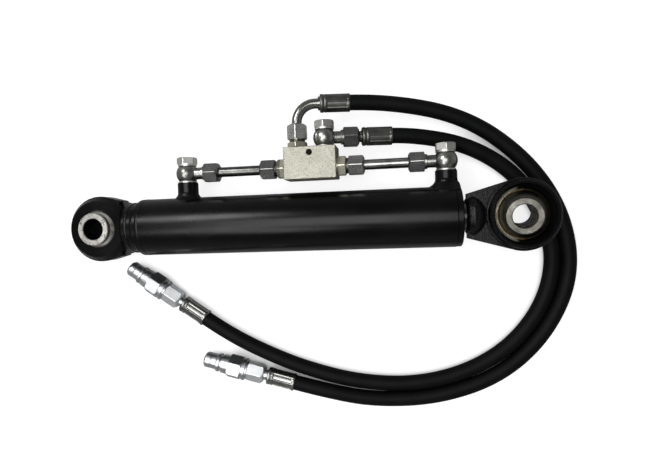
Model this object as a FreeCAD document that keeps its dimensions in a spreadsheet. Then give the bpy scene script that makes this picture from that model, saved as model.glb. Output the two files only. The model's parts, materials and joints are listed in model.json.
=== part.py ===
import FreeCAD, Part
import Sketcher
import math
import os
import re

# Double-acting hydraulic cylinder with a spherical bearing in each end eye, two steel pipes
# to a pilot-operated double check valve, and two hoses with quick-coupling plugs.
# Frame: millimetres, origin at the centre of the base eye's ball, +X along the cylinder
# towards the rod eye, +Y towards the ports and the valve, +Z up along the pin holes.

V = FreeCAD.Vector
TURN = FreeCAD.Rotation
LEVEL = TURN()
TO_Y = TURN(V(0, 0, 1), 90)
TO_Z = TURN(V(0, 1, 0), -90)
BACK = TURN(V(0, 0, 1), 180)

SIZES = {
    # cylinder
    "pin_distance": 510, "barrel_r": 35, "bore_r": 30, "cap_start": 45, "tube_start": 62,
    "tube_end": 437, "head_end": 443, "chamber_start": 86, "gland_start": 396,
    "rod_r": 17.5, "spigot_r": 12, "piston_start": 120, "piston_end": 160, "piston_r": 29.7,
    "running": 0.05, "gap": 0.1,
    # end eyes and their balls
    "eye_r": 41, "eye_face_r": 35, "eye_half": 17, "neck_r": 31, "ball_r": 28, "ball_half": 25.5,
    "collar_r": 20, "collar_start": 19.6, "pin_hole_r": 12.75, "mouth_r": 23.1,
    "shank_start": 450, "shank_r": 24, "plate_half": 9, "flank_half": 25.6, "ball_lean": 8,
    # ports, pipes and their fittings
    "base_port": 115, "rod_port": 428, "boss_r": 12.5, "boss_top": 53.5, "port_drill_r": 4.5,
    "pipe_y": 64.5, "pipe_r": 6, "pipe_bore_r": 4.5, "banjo_r": 13.5, "banjo_half": 9.5,
    "washer": 1.5, "bolt_r": 8.2, "bolt_head": 9, "stub_r": 7.25, "thread_r": 9,
    "nut_flats": 22, "nut_long": 18.5,
    # double check valve
    "block_start": 241, "block_end": 303, "block_low": 50, "block_top": 88, "block_half": 17.5,
    "valve_middle": 272, "port_step": 16.5, "spool_r": 7, "hex_long": 13, "fix_hole_r": 3.75,
    # hoses, their end fittings and the coupling plugs
    "hose_r": 9.3, "droop": 10, "ferrule_r": 11, "ferrule_long": 36, "tail_r": 5,
    "elbow_bend_r": 23, "elbow_y": 141, "floor_drop": 35, "floor_slope": 0.032,
    "plug_height": 13.7, "plug_flats": 27, "plug_long": 121, "nose_r": 10,
}

doc = FreeCAD.newDocument("HydraulicCylinder")
sheet = doc.addObject("Spreadsheet::Sheet", "Sizes")
for line, (name, number) in enumerate(SIZES.items(), start=1):
    sheet.set(f"A{line}", name)
    sheet.set(f"B{line}", str(number))
    sheet.setAlias(f"B{line}", name)
doc.recompute()

nodes = {}


def size(name):
    """The number in the sheet's cell of that name."""
    return float(sheet.get(name))


def bind(formula):
    """A formula in the sheet's names, as an expression of the document."""
    return re.sub(r"[a-z][a-z_]+", lambda word: "Sizes." + word[0] if word[0] in SIZES else word[0],
                  str(formula))


def place(thing, at=(0, 0, 0), turn=LEVEL):
    """Puts an object at a point, given as formulas, and turns it."""
    thing.Placement = FreeCAD.Placement(V(0, 0, 0), turn)
    for axis, formula in zip("xyz", at):
        thing.setExpression(f"Placement.Base.{axis}", bind(formula))
    return thing


def draw(body, plane, corners, ring=None):
    """A closed outline of straight lines, every corner bound to the sheet, and perhaps a circle."""
    sketch = body.newObject("Sketcher::SketchObject", "Sketch")
    origin = [part for part in body.Origin.OriginFeatures if part.Role == plane]
    sketch.AttachmentSupport = [(origin[0], "")]
    sketch.MapMode = "FlatFace"
    count = len(corners)
    for number in range(count):
        start = V(number, number * number, 0)
        sketch.addGeometry(Part.LineSegment(start, V(number + 1, (number + 1) ** 2, 0)))
    for number in range(count):
        sketch.addConstraint(Sketcher.Constraint("Coincident", number, 2, (number + 1) % count, 1))
    for number, corner in enumerate(corners):
        for kind, formula in zip(("DistanceX", "DistanceY"), corner):
            index = sketch.addConstraint(Sketcher.Constraint(kind, -1, 1, number, 1, 1.0))
            sketch.setExpression(f"Constraints[{index}]", bind(formula))
    if ring:
        edge = sketch.addGeometry(Part.Circle(V(0, 0, 0), V(0, 0, 1), 1))
        sketch.addConstraint(Sketcher.Constraint("Coincident", -1, 1, edge, 3))
        index = sketch.addConstraint(Sketcher.Constraint("Radius", edge, 1.0))
        sketch.setExpression(f"Constraints[{index}]", bind(ring))
    return sketch


def turned(label, corners, at=(0, 0, 0), turn=LEVEL):
    """A turned piece: corners are (distance along its own X axis, radius)."""
    body = doc.addObject("PartDesign::Body", "Body")
    body.Label = label
    round_piece = body.newObject("PartDesign::Revolution", "Revolution")
    sketch = draw(body, "XY_Plane", corners)
    round_piece.Profile = sketch
    round_piece.ReferenceAxis = (sketch, ["H_Axis"])
    round_piece.Angle = 360
    body.Tip = round_piece
    return place(body, at, turn)


def hexed(body, start, length, flats, first=0):
    """Mills a hexagon on a turned body from start over a length, its first corner at an angle."""
    doc.recompute()
    before = body.Shape.Volume
    corners = []
    for side in range(6):
        angle = f"({first + 60 * side} deg)"
        corners.append((f"({flats}) / sqrt(3) * cos{angle}", f"({flats}) / sqrt(3) * sin{angle}"))
    sketch = draw(body, "YZ_Plane", corners, ring=f"({flats})")
    sketch.AttachmentOffset = FreeCAD.Placement(V(0, 0, 0), LEVEL)
    sketch.setExpression("AttachmentOffset.Base.z", bind(start))
    mill = body.newObject("PartDesign::Pocket", "Pocket")
    mill.Profile = sketch
    mill.Reversed = True
    mill.setExpression("Length", bind(length))
    body.Tip = mill
    doc.recompute()
    if body.Shape.Volume > before - 1:
        raise RuntimeError(f"the hexagon of {body.Label} cuts nothing")
    return body


def rod(radius, length, at=(0, 0, 0), turn=TO_Z):
    """A plain cylinder that starts at a point and runs along the turned X axis."""
    piece = doc.addObject("Part::Cylinder", "Cylinder")
    piece.setExpression("Radius", bind(radius))
    piece.setExpression("Height", bind(length))
    return place(piece, at, turn.multiply(TO_Z.inverted()))


def ball(radius, at=(0, 0, 0)):
    piece = doc.addObject("Part::Sphere", "Sphere")
    piece.setExpression("Radius", bind(radius))
    return place(piece, at)


def block(length, width, height, at):
    piece = doc.addObject("Part::Box", "Box")
    for side, formula in zip(("Length", "Width", "Height"), (length, width, height)):
        piece.setExpression(side, bind(formula))
    return place(piece, at)


def joined(label, pieces):
    whole = doc.addObject("Part::MultiFuse", "Fusion")
    whole.Label = label
    whole.Shapes = pieces
    return whole


def shared(label, first, second):
    whole = doc.addObject("Part::Common", "Common")
    whole.Label = label
    whole.Base = first
    whole.Tool = second
    return whole


def cut(label, piece, tools):
    """A piece with tools taken away."""
    whole = doc.addObject("Part::Cut", "Cut")
    whole.Label = label
    whole.Base = piece
    whole.Tool = tools[0] if len(tools) == 1 else joined(label + "_tools", tools)
    return whole


def group(label, pieces):
    """Separate like pieces that share one node."""
    whole = doc.addObject("Part::Compound", "Compound")
    whole.Label = label
    whole.Links = pieces
    return whole


def keep(*pieces):
    """Hands in each piece as a node named after its label."""
    for piece in pieces:
        nodes[piece.Label] = piece


# ---- Barrel: base cap, honed tube and screwed head -------------------------------------------

cap = turned("base_cap", [
    ("cap_start", 0), ("cap_start", "neck_r - 2"), ("cap_start + 2", "neck_r"),
    ("cap_start + 6", "neck_r"), ("cap_start + 11.5", "barrel_r"), ("tube_start - 2", "barrel_r"),
    ("tube_start", "barrel_r - 2"), ("tube_start", "bore_r - gap"), ("chamber_start - 1.5", "bore_r - gap"),
    ("chamber_start", "bore_r - 1.5"), ("chamber_start", 0)])
tube = turned("barrel_tube_plain", [
    ("tube_start", "bore_r"), ("tube_start", "barrel_r - 2"), ("tube_start + 2", "barrel_r"),
    ("tube_end - 1", "barrel_r"), ("tube_end", "barrel_r - 1"), ("tube_end", "bore_r")])
port_drills = [rod("port_drill_r", 20, (port, 22, 0), TO_Y) for port in ("base_port", "rod_port")]
tube = cut("barrel_tube", tube, port_drills)
eye_weld = [("cap_start - 2", "neck_r"), ("cap_start", "neck_r - 2"), ("cap_start + 2", "neck_r"),
            ("cap_start + 1.2", "neck_r + 0.9"), ("cap_start", "neck_r + 1.2"),
            ("cap_start - 1.2", "neck_r + 0.9")]
tube_weld = [("tube_start - 2", "barrel_r"), ("tube_start", "barrel_r - 2"), ("tube_start + 2", "barrel_r")]
keep(cap, tube, group("barrel_welds", [turned("base_eye_weld", eye_weld), turned("tube_weld", tube_weld)]))

gland = turned("gland_plain", [
    ("gland_start", "rod_r + gap"), ("gland_start", "bore_r - 2"), ("gland_start + 2", "bore_r - gap"),
    ("gland_start + 20", "bore_r - gap"), ("gland_start + 20", 23), ("gland_start + 36", 23),
    ("gland_start + 36", "bore_r - gap"), ("gland_start + 37", "bore_r - gap"),
    ("gland_start + 37", 27.4), ("gland_start + 39.6", 27.4), ("gland_start + 39.6", "bore_r - gap"),
    ("tube_end", "bore_r - gap"), ("tube_end", "barrel_r - 0.4"), ("head_end - 1.2", "barrel_r - 0.4"),
    ("head_end", "barrel_r - 1.6"), ("head_end", 22.5), ("head_end - 5.5", 22.5),
    ("head_end - 5.5", "rod_r + gap"),
    ("gland_start + 19", "rod_r + gap"), ("gland_start + 19", 22), ("gland_start + 12.5", 22),
    ("gland_start + 12.5", "rod_r + gap"), ("gland_start + 10.5", "rod_r + gap"),
    ("gland_start + 10.5", 20.5), ("gland_start + 2.5", 20.5), ("gland_start + 2.5", "rod_r + gap")])
oilways = []
for quarter in range(4):
    angle = math.radians(45 + 90 * quarter)
    oilways.append(rod(2, 24, ("gland_start - 2", 25.5 * math.cos(angle), 25.5 * math.sin(angle)), LEVEL))
spanner_slots = [block(4, 2 * 40, 5, ("head_end - 2.2", -40, -2.5))]
gland_slots = cut("spanner_slots", spanner_slots[0], [rod(27, 10, ("head_end - 5", 0, 0), LEVEL)])
keep(cut("gland", gland, oilways + [gland_slots]))


def seal_ring(label, start, length, inner, outer):
    """A ring of rectangular section round the X axis."""
    end = f"{start} + {length}"
    return turned(label, [(start, inner), (start, outer), (end, outer), (end, inner)])


def o_ring(label, middle, centre_r, section_r):
    piece = doc.addObject("Part::Torus", "Torus")
    piece.Label = label
    piece.setExpression("Radius1", bind(centre_r))
    piece.setExpression("Radius2", bind(section_r))
    return place(piece, (middle, 0, 0), TURN(V(0, 1, 0), 90))


keep(o_ring("gland_o_ring", "gland_start + 38.3", 28.7, 1.25),
     seal_ring("rod_guide_ring", "gland_start + 2.6", 7.8, "rod_r + running", 20.4),
     seal_ring("rod_seal", "gland_start + 12.6", 6.3, "rod_r + running", 21.9),
     turned("rod_wiper", [
         ("head_end - 5.4", "rod_r + running"), ("head_end - 5.4", 22.4), ("head_end - 0.6", 22.4),
         ("head_end - 0.6", 20.4), ("head_end + 0.6", 18.6), ("head_end + 0.6", "rod_r + running")]))

# ---- Rod, piston and their rings ----------------------------------------------------------------

keep(turned("piston_rod", [
         ("piston_start - 24", 0), ("piston_start - 24", "spigot_r - 1.5"),
         ("piston_start - 22.5", "spigot_r"), ("piston_end", "spigot_r"), ("piston_end", "rod_r - 1"),
         ("piston_end + 1", "rod_r"), ("shank_start + 10", "rod_r"), ("shank_start + 10", 0)]),
     turned("piston", [
         ("piston_start", "spigot_r + running"), ("piston_start", "piston_r - 1.5"),
         ("piston_start + 1.5", "piston_r"), ("piston_start + 4", "piston_r"),
         ("piston_start + 4", 27.4), ("piston_start + 10.2", 27.4), ("piston_start + 10.2", "piston_r"),
         ("piston_start + 15.9", "piston_r"), ("piston_start + 15.9", 24.5),
         ("piston_start + 24.1", 24.5), ("piston_start + 24.1", "piston_r"),
         ("piston_start + 29.8", "piston_r"), ("piston_start + 29.8", 27.4),
         ("piston_end - 4", 27.4), ("piston_end - 4", "piston_r"), ("piston_end - 1.5", "piston_r"),
         ("piston_end", "piston_r - 1.5"), ("piston_end", "spigot_r + running"),
         ("piston_start + 21.5", "spigot_r + running"), ("piston_start + 21.5", "spigot_r + 2.2"),
         ("piston_start + 18.5", "spigot_r + 2.2"), ("piston_start + 18.5", "spigot_r + running")]),
     o_ring("piston_o_ring", "piston_start + 20", "spigot_r + 1.13", 1.03),
     seal_ring("piston_seal", "piston_start + 16", 8, 24.55, "bore_r - running"),
     group("piston_guide_rings", [
         seal_ring("piston_guide_ring_a", "piston_start + 4.1", 6, 27.45, "bore_r - running"),
         seal_ring("piston_guide_ring_b", "piston_start + 29.9", 6, 27.45, "bore_r - running")]))
keep(hexed(turned("piston_nut", [
    ("piston_start - 20", "spigot_r + running"), ("piston_start - 20", 18), ("piston_start - 18.5", 20.6),
    ("piston_start - 1.5", 20.6), ("piston_start", 18), ("piston_start", "spigot_r + running")]),
    "piston_start - 20", 20, 36))

# ---- End eyes, their balls and the rod eye's weld -------------------------------------------------


def seat_tools(at, funnel_r):
    """The spherical seat of an eye and the sloping mouth above and below it."""
    mouth = [("eye_half - 1", 0), ("eye_half - 1", "mouth_r"), ("eye_half + 0.2", funnel_r),
             ("eye_half + 0.2", 0)]
    return [ball("ball_r + gap", at), turned("mouth_top", mouth, at, TO_Z),
            turned("mouth_bottom", mouth, at, TO_Z.inverted())]


def eye_plate(label, corners, half):
    """A flat plate between flanks, drawn from above and padded both ways."""
    body = doc.addObject("PartDesign::Body", "Body")
    body.Label = label
    pad = body.newObject("PartDesign::Pad", "Pad")
    pad.Profile = draw(body, "XY_Plane", corners)
    pad.Midplane = True
    pad.setExpression("Length", bind(f"2 * ({half})"))
    body.Tip = pad
    return body


def ring_boss(label, edge_half, at):
    """The round boss of an eye: a full-width face and sides that slope to the outline."""
    return turned(label, [
        ("-eye_half", 0), ("-eye_half", "eye_face_r"), (f"-({edge_half})", "eye_r"),
        (edge_half, "eye_r"), ("eye_half", "eye_face_r"), ("eye_half", 0)], at, TO_Z)


base_plate = eye_plate("base_eye_plate", [
    (0, "-eye_r + 2"), (10.5, -39.6), (28, -34.9), (28, 34.9), (10.5, 39.6), (0, "eye_r - 2")], 11)
oval = doc.addObject("Part::Ellipse", "Ellipse")
oval.MajorRadius = 34.9
oval.MinorRadius = 13
place(oval, (27, 0, 0), TURN(V(1, 1, 1), 120))
hoop = doc.addObject("Part::Circle", "Circle")
hoop.setExpression("Radius", bind("neck_r"))
place(hoop, ("cap_start - 4.5", 0, 0), TURN(V(1, 1, 1), 120))
neck_loft = doc.addObject("Part::Loft", "Loft")
neck_loft.Sections = [oval, hoop]
neck_loft.Solid = True
neck_end = turned("base_eye_neck", [
    ("cap_start - 4.5", 0), ("cap_start - 4.5", "neck_r"), ("cap_start - 2", "neck_r"),
    ("cap_start", "neck_r - 2"), ("cap_start", 0)])
base_ring = ring_boss("base_eye_boss", 9, (0, 0, 0))
base_eye = joined("base_eye_solid", [base_ring, base_plate, neck_loft, neck_end])
keep(cut("base_eye", base_eye, seat_tools((0, 0, 0), "mouth_r + 0.8")))

rod_end = ("pin_distance", 0, 0)
rod_plate = place(eye_plate("rod_eye_plate", [
    ("shank_start - pin_distance", "-flank_half"), (-10.9, -39.5), (0, "-eye_r + 1"),
    (0, "eye_r - 1"), (-10.9, 39.5), ("shank_start - pin_distance", "flank_half")], "plate_half"), rod_end)
ring_half = [
    ("plate_half", "eye_r"), ("plate_half + 1", "eye_r - 0.8"), ("plate_half + 1.8", "eye_r - 2.2"),
    ("eye_half - 0.8", "eye_face_r + 2.6"), ("eye_half", "eye_face_r + 1.9"),
    ("eye_half", "eye_face_r - 0.6"), ("eye_half - 0.8", "eye_face_r - 1.4"),
    ("eye_half - 3", 32.2), ("eye_half - 6", 29.8), (6.6, 27.9), (6.6, 0)]
rod_ring = turned("rod_eye_ring", [("-plate_half", 0), ("-plate_half", "eye_r")] + ring_half, rod_end, TO_Z)
rod_ring_low = turned("rod_eye_ring_low", [(0, 0), (0, "eye_r")] + ring_half, rod_end, TO_Z.inverted())
knob = shared("rod_eye_knob", ball("shank_r + 1.6", ("shank_start - 3.5", 0, 0)),
              ball("shank_r + 0.6", ("shank_start + 12", 0, 0)))
dome = shared("rod_eye_dome", knob, rod("shank_r + 1", "shank_r", ("shank_start", 0, 0), LEVEL))
rod_socket = rod("rod_r + running", 12, ("shank_start - 2", 0, 0), LEVEL)
rod_eye = joined("rod_eye_solid", [rod_plate, rod_ring, rod_ring_low, dome])
keep(cut("rod_eye", rod_eye, [ball("ball_r + gap", rod_end), rod_socket]),
     turned("rod_eye_weld", [
         ("shank_start", "rod_r + gap"), ("shank_start", 20.8), ("shank_start - 1.2", 20.2),
         ("shank_start - 2.2", 18.6), ("shank_start - 2.4", "rod_r + gap")]))


def eye_ball(label, at, turn):
    """A bearing ball with a collar each side and the pin hole through it."""
    middle = shared(label + "_middle", ball("ball_r"),
                    rod("ball_r + 1", "2 * collar_start", (0, 0, "-collar_start"), TO_Z))
    collars = turned(label + "_collars", [
        ("-ball_half", 0), ("-ball_half", "collar_r - 0.8"), ("-ball_half + 0.8", "collar_r"),
        ("ball_half - 0.8", "collar_r"), ("ball_half", "collar_r - 0.8"), ("ball_half", 0)], turn=TO_Z)
    bore = turned(label + "_bore", [
        ("-ball_half - 1", 0), ("-ball_half - 1", "pin_hole_r + 1"), ("-ball_half", "pin_hole_r + 1"),
        ("-ball_half + 1", "pin_hole_r"), ("ball_half - 1", "pin_hole_r"),
        ("ball_half", "pin_hole_r + 1"), ("ball_half + 1", "pin_hole_r + 1"), ("ball_half + 1", 0)],
        turn=TO_Z)
    return place(cut(label, joined(label + "_solid", [middle, collars]), [bore]), at, turn)


lean_axis = V(0.616, -0.788, 0)
keep(eye_ball("base_ball", (0, 0, 0), LEVEL),
     eye_ball("rod_ball", rod_end, TURN(lean_axis, size("ball_lean"))))

# ---- Port bosses on the barrel, welded ----------------------------------------------------------


def port_boss(label, port):
    """A screwed port block: it sits on the barrel's curve, with a thread and a drill below it."""
    plain = turned(label + "_plain", [
        (28, "port_drill_r"), (28, "boss_r"), ("boss_top - 0.8", "boss_r"), ("boss_top", "boss_r - 0.8"),
        ("boss_top", "bolt_r + running"), (41, "bolt_r + running"), (39, "port_drill_r")], (port, 0, 0), TO_Y)
    return cut(label, plain, [rod("barrel_r", 80, (f"{port} - 40", 0, 0), LEVEL)])


def port_weld(label, port, foot_r, height):
    """The fillet of weld between a port block and the barrel."""
    plain = turned(label + "_plain", [
        (24, "boss_r"), (24, foot_r), (33.5, foot_r),
        (f"{height} - 3", f"boss_r + ({foot_r} - boss_r) * 0.35"),
        (height, "boss_r + 0.5"), (height, "boss_r")], (port, 0, 0), TO_Y)
    return cut(label, plain, [rod("barrel_r", 80, (f"{port} - 40", 0, 0), LEVEL),
                              block(40, 60, 80, ("head_end - 0.5", 0, -40))])


keep(port_boss("base_port_boss", "base_port"), port_boss("rod_port_boss", "rod_port"),
     group("port_welds", [port_weld("base_port_weld", "base_port", 16.5, 41),
                          port_weld("rod_port_weld", "rod_port", 20.5, 44)]))

# ---- Banjo fittings: bolt, two washers and a ball-shaped body with a stub --------------------------


def banjo(label, x, seat, towards, shoulder):
    """A banjo body on a seat: its stub runs towards a direction and ends in the nut's thread."""
    middle = f"{seat} + washer + banjo_half"
    at = (x, middle, 0)
    globe = shared(label + "_globe", ball("banjo_r", at),
                   rod("banjo_r + 1", "2 * banjo_half", (x, f"{middle} - banjo_half", 0), TO_Y))
    stub = turned(label + "_stub", [
        (0, 0), (0, "stub_r"), (f"{shoulder} - 3", "stub_r"), (f"{shoulder} - 2.4", "stub_r + 1.4"),
        (shoulder, "stub_r + 1.4"), (shoulder, "thread_r"), (f"{shoulder} + 9.5", "thread_r"),
        (f"{shoulder} + 10", 8.4), (f"{shoulder} + 10", 0)], at, towards)
    bores = [rod("bolt_r + running", 24, (x, f"{middle} - 12", 0), TO_Y),
             turned(label + "_bore", nipple_bore(shoulder), at, towards)]
    return cut(label, joined(label + "_solid", [globe, stub]), bores)


def nipple_bore(shoulder):
    """The oil hole, the pipe's socket and the 24 degree cone of a compression nipple."""
    return [(2, 0), (2, 3.5), (shoulder, 3.5), (shoulder, "pipe_r + running"),
            (f"{shoulder} + 4", "pipe_r + running"), (f"{shoulder} + 10.1", 7.7), (f"{shoulder} + 10.1", 0)]


def banjo_bolt(label, x, seat):
    """A hollow hexagon bolt with a cross hole level with the banjo's stub."""
    under = f"({seat}) + 2 * washer + 2 * banjo_half"
    body = turned(label + "_plain", [
        (f"({seat}) - 11.5", 3.5), (f"({seat}) - 11.5", "bolt_r - 1"), (f"({seat}) - 10.5", "bolt_r"),
        (under, "bolt_r"), (under, 11), (f"{under} + 1", 11), (f"{under} + 1", 12.4),
        (f"{under} + bolt_head - 1", 12.4), (f"{under} + bolt_head", 10.8), (f"{under} + bolt_head", 0),
        (f"({seat}) + washer + banjo_half + 4", 0), (f"({seat}) + washer + banjo_half + 4", 3.5)],
        (x, 0, 0), TO_Y)
    hexed(body, f"{under} + 1", "bolt_head", "nut_flats", first=30)
    middle = f"({seat}) + washer + banjo_half"
    return cut(label, body, [rod(3, 24, (f"({x}) - 12", middle, 0), LEVEL)])


def banjo_washer(label, x, start):
    end = f"({start}) + washer"
    return turned(label, [(start, "bolt_r + gap"), (start, 11.4), (end, 11.4), (end, "bolt_r + gap")],
                  (x, 0, 0), TO_Y)


DROOP = TURN(V(0, 1, 0), size("droop"))
valve_port = "valve_middle + port_step"
banjo_seats = [("base", "base_port", "boss_top", LEVEL, 22.9), ("rod", "rod_port", "boss_top", BACK, 23.5),
               ("valve", valve_port, "block_top", DROOP, 22)]
bolts, washers = [], []
for name, x, seat, towards, shoulder in banjo_seats:
    keep(banjo(name + "_banjo", x, seat, towards, shoulder))
    bolts.append(banjo_bolt(name + "_banjo_bolt", x, seat))
    washers.append(banjo_washer(name + "_lower_washer", x, seat))
    washers.append(banjo_washer(name + "_upper_washer", x, f"({seat}) + washer + 2 * banjo_half"))
keep(group("banjo_bolts", bolts), group("banjo_washers", washers))

# ---- Compression nuts and cutting rings, each where a pipe meets a nipple ---------------------------


def pipe_nut(label, at, turn):
    """A compression nut: thread, cone and pipe hole, running away from its nipple."""
    body = turned(label, [
        (0, "thread_r + running"), (0, 11), (0.8, 12.5), ("nut_long - 2.5", 12.5), ("nut_long", 8.6),
        ("nut_long", "pipe_r + gap"), ("nut_long - 3", "pipe_r + gap"),
        ("nut_long - 6.5", "thread_r + running")], at, turn)
    return hexed(body, 0, "nut_long", "nut_flats", first=30)


def cutting_ring(label, at, turn):
    return turned(label, [
        (5, "pipe_r + 0.02"), (5, 6.22), (9.9, 7.55), (10.3, 8.8), (11.6, 8.8), (14.6, 6.5),
        (14.6, "pipe_r + 0.02")], at, turn)


def along(x, y, turn, distance):
    """The point that lies a distance along a turned X axis from (x, y, 0)."""
    step = turn.multVec(V(1, 0, 0))
    return (f"({x}) + ({distance}) * {step.x:.9f}", f"({y}) + ({distance}) * {step.y:.9f}",
            f"({distance}) * {step.z:.9f}")


left_hex_end = "block_start - hex_long"
right_hex_end = "block_end + hex_long"
valve_pipe_y = "block_top + washer + banjo_half"
unions = [
    ("base_banjo_union", along("base_port", "pipe_y", LEVEL, 23.4), LEVEL),
    ("base_valve_union", along(left_hex_end, "pipe_y", BACK, 0.5), BACK),
    ("rod_banjo_union", along("rod_port", "pipe_y", BACK, 24), BACK),
    ("rod_valve_union", along(right_hex_end, "pipe_y", LEVEL, 0.5), LEVEL),
    ("elbow_union", along("valve_middle - port_step", "block_top + 10.5", TO_Y, 0), TO_Y),
    ("hose_union", along(valve_port, valve_pipe_y, DROOP, 22.5), DROOP),
]
nuts = [pipe_nut(name + "_nut", at, turn) for name, at, turn in unions]
rings = [cutting_ring(name + "_ring", at, turn) for name, at, turn in unions]
keep(group("union_nuts", nuts), group("cutting_rings", rings))


def pipe(label, start, end):
    """A straight steel pipe along X at the height of the banjo stubs."""
    return turned(label, [(start, "pipe_bore_r"), (start, "pipe_r"), (end, "pipe_r"), (end, "pipe_bore_r")],
                  (0, "pipe_y", 0))


keep(pipe("base_pipe", "base_port + 23", f"{left_hex_end} - 0.1"),
     pipe("rod_pipe", f"{right_hex_end} + 0.1", "rod_port - 23.6"))

# ---- Double check valve: block, seats, springs, poppets and pilot piston -----------------------------

valve_block = block("block_end - block_start", "block_top - block_low", "2 * block_half",
                    ("block_start", "block_low", "-block_half"))
bevel = doc.addObject("Part::Chamfer", "Chamfer")
bevel.Base = valve_block
doc.recompute()
bevel.Edges = [(edge + 1, 0.7, 0.7) for edge in range(len(valve_block.Shape.Edges))]
valve_tools = [rod("spool_r", "block_end - block_start + 2", ("block_start - 1", "pipe_y", 0), LEVEL),
               rod("fix_hole_r", "2 * block_half + 2",
                   ("valve_middle", "block_top - 7", "-block_half - 1"), TO_Z)]
for side, inwards, face in ((-1, LEVEL, "block_start"), (1, BACK, "block_end")):
    port = f"valve_middle + ({side}) * port_step"
    valve_tools.append(rod("bolt_r + running", 9, (face, "pipe_y", 0), inwards))
    valve_tools.append(rod("bolt_r + running", 12, (port, "block_top - 12", 0), TO_Y))
    valve_tools.append(rod(3.5, 20, (port, "block_top - 20", 0), TO_Y))
keep(cut("valve_block", bevel, valve_tools))


def valve_adapter(name, face, inwards):
    """A screwed end fitting: nipple outside, and the check poppet's guide bore inside the thread."""
    body = turned(name + "_adapter", [
        ("-hex_long - 10", 8.4), ("-hex_long - 9.5", "thread_r"), ("-hex_long + 3", "thread_r"),
        ("-hex_long + 3", 11), ("-hex_long + 3.8", 12.5), (-1.5, 12.5), (-0.8, 11), (-0.05, 11),
        (-0.05, "bolt_r"), (8.5, "bolt_r"), (8.5, 5.7), (-11.5, 5.7), (-11.5, 3.5), ("-hex_long", 3.5),
        ("-hex_long", "pipe_r + running"), ("-hex_long - 4", "pipe_r + running"), ("-hex_long - 10", 7.7)],
        (face, "pipe_y", 0), inwards)
    return hexed(body, "-hex_long + 2.8", "hex_long - 2.9", "nut_flats", first=30)


def spring(name, start, length, coil_r, wire_r, turns, frame):
    """A coil spring: a round wire wound about the X axis of a frame, from start over a length."""
    helix = Part.makeHelix((length - 2 * wire_r) / turns, length - 2 * wire_r, coil_r)
    section = Part.Wire([Part.Circle(V(coil_r, 0, 0), V(0, 1, 0), wire_r).toShape()])
    piece = doc.addObject("Part::Feature", "Feature")
    piece.Label = name
    piece.Shape = Part.Wire(helix.Edges).makePipeShell([section], True, True)
    piece.Placement = frame.multiply(FreeCAD.Placement(V(start + wire_r, 0, 0), TURN(V(0, 1, 0), 90)))
    return piece


check_seats = []
for name, face, inwards in (("base", "block_start", LEVEL), ("rod", "block_end", BACK)):
    at = (face, "pipe_y", 0)
    seat_ring = [(9.2, 4), (9.2, "spool_r"), (11.2, "spool_r"), (11.2, 4)]
    check_seats.append(turned(name + "_check_seat", seat_ring, at, inwards))
    keep(valve_adapter(name, face, inwards),
         turned(name + "_check_poppet",
                [(-1, 0), (-1, 5.65), (7.4, 5.65), (11.1, 1.95), (11.1, 0)], at, inwards),
         spring(name + "_check_spring", -11.3, 10.1, 4.4, 0.6, 5,
                FreeCAD.Placement(V(size(face), size("pipe_y"), 0), inwards)))
keep(group("check_seats", check_seats), turned("pilot_piston", [
    (-13.5, 0), (-13.5, 2.5), (-7, 2.5), (-7, "spool_r - running"), (7, "spool_r - running"), (7, 2.5),
    (13.5, 2.5), (13.5, 0)], ("valve_middle", "pipe_y", 0)))

# ---- Elbow above the valve and the two hose ends -----------------------------------------------------

elbow_adapter = turned("elbow_adapter", [
    (-11.5, 3.5), (-11.5, "bolt_r"), (0.05, "bolt_r"), (0.05, 11), (0.8, 11), (1.5, 12.5), (6.2, 12.5),
    (7, 11), (7, "thread_r"), (19.5, "thread_r"), (20, 8.4), (20, 7.7), (14, "pipe_r + running"),
    (10, "pipe_r + running"), (10, 3.5)], ("valve_middle - port_step", "block_top", 0), TO_Y)
keep(hexed(elbow_adapter, 0.8, 6.2, "nut_flats", first=30))


def swept_tube(path, outer, inner):
    """A round tube of a radius along a path of runs and arcs."""
    start = path.Edges[0]
    heading = start.tangentAt(start.FirstParameter)
    point = start.valueAt(start.FirstParameter)
    solids = []
    for radius in (outer, inner):
        if radius:
            section = Part.Wire([Part.Circle(point, heading, radius).toShape()])
            solids.append(path.makePipeShell([section], True, False))
    return solids[0].cut(solids[1]) if inner else solids[0]


def elbow_pipe():
    """A bent pipe that rises from the valve, turns to the hose and ends in the hose's tail."""
    bend, rise, reach = size("elbow_bend_r"), size("block_top") + 10.1, 28.5
    top = size("elbow_y")
    corner = V(bend * (1 - math.sqrt(0.5)), top - bend * (1 - math.sqrt(0.5)), 0)
    curve = Part.Arc(V(0, top - bend, 0), corner, V(bend, top, 0)).toShape()
    path = Part.Wire([Part.LineSegment(V(0, rise, 0), V(0, top - bend, 0)).toShape(), curve,
                      Part.LineSegment(V(bend, top, 0), V(reach + 1, top, 0)).toShape()])
    tube = swept_tube(path, size("pipe_r"), 3.5)
    collar = Part.makeCylinder(8.2, 2.2, V(reach - 2.3, top, 0), V(1, 0, 0))
    tail = Part.makeCylinder(size("tail_r"), 28, V(reach, top, 0), V(1, 0, 0))
    hole = Part.makeCylinder(3.5, 40, V(reach - 3, top, 0), V(1, 0, 0))
    whole = tube.fuse([collar, tail]).cut(hole).removeSplitter()
    piece = doc.addObject("Part::Feature", "Feature")
    piece.Label = "elbow_pipe"
    piece.Shape = whole.Solids[0]
    return place(piece, ("valve_middle - port_step", 0, 0), DROOP)


keep(elbow_pipe())


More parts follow.
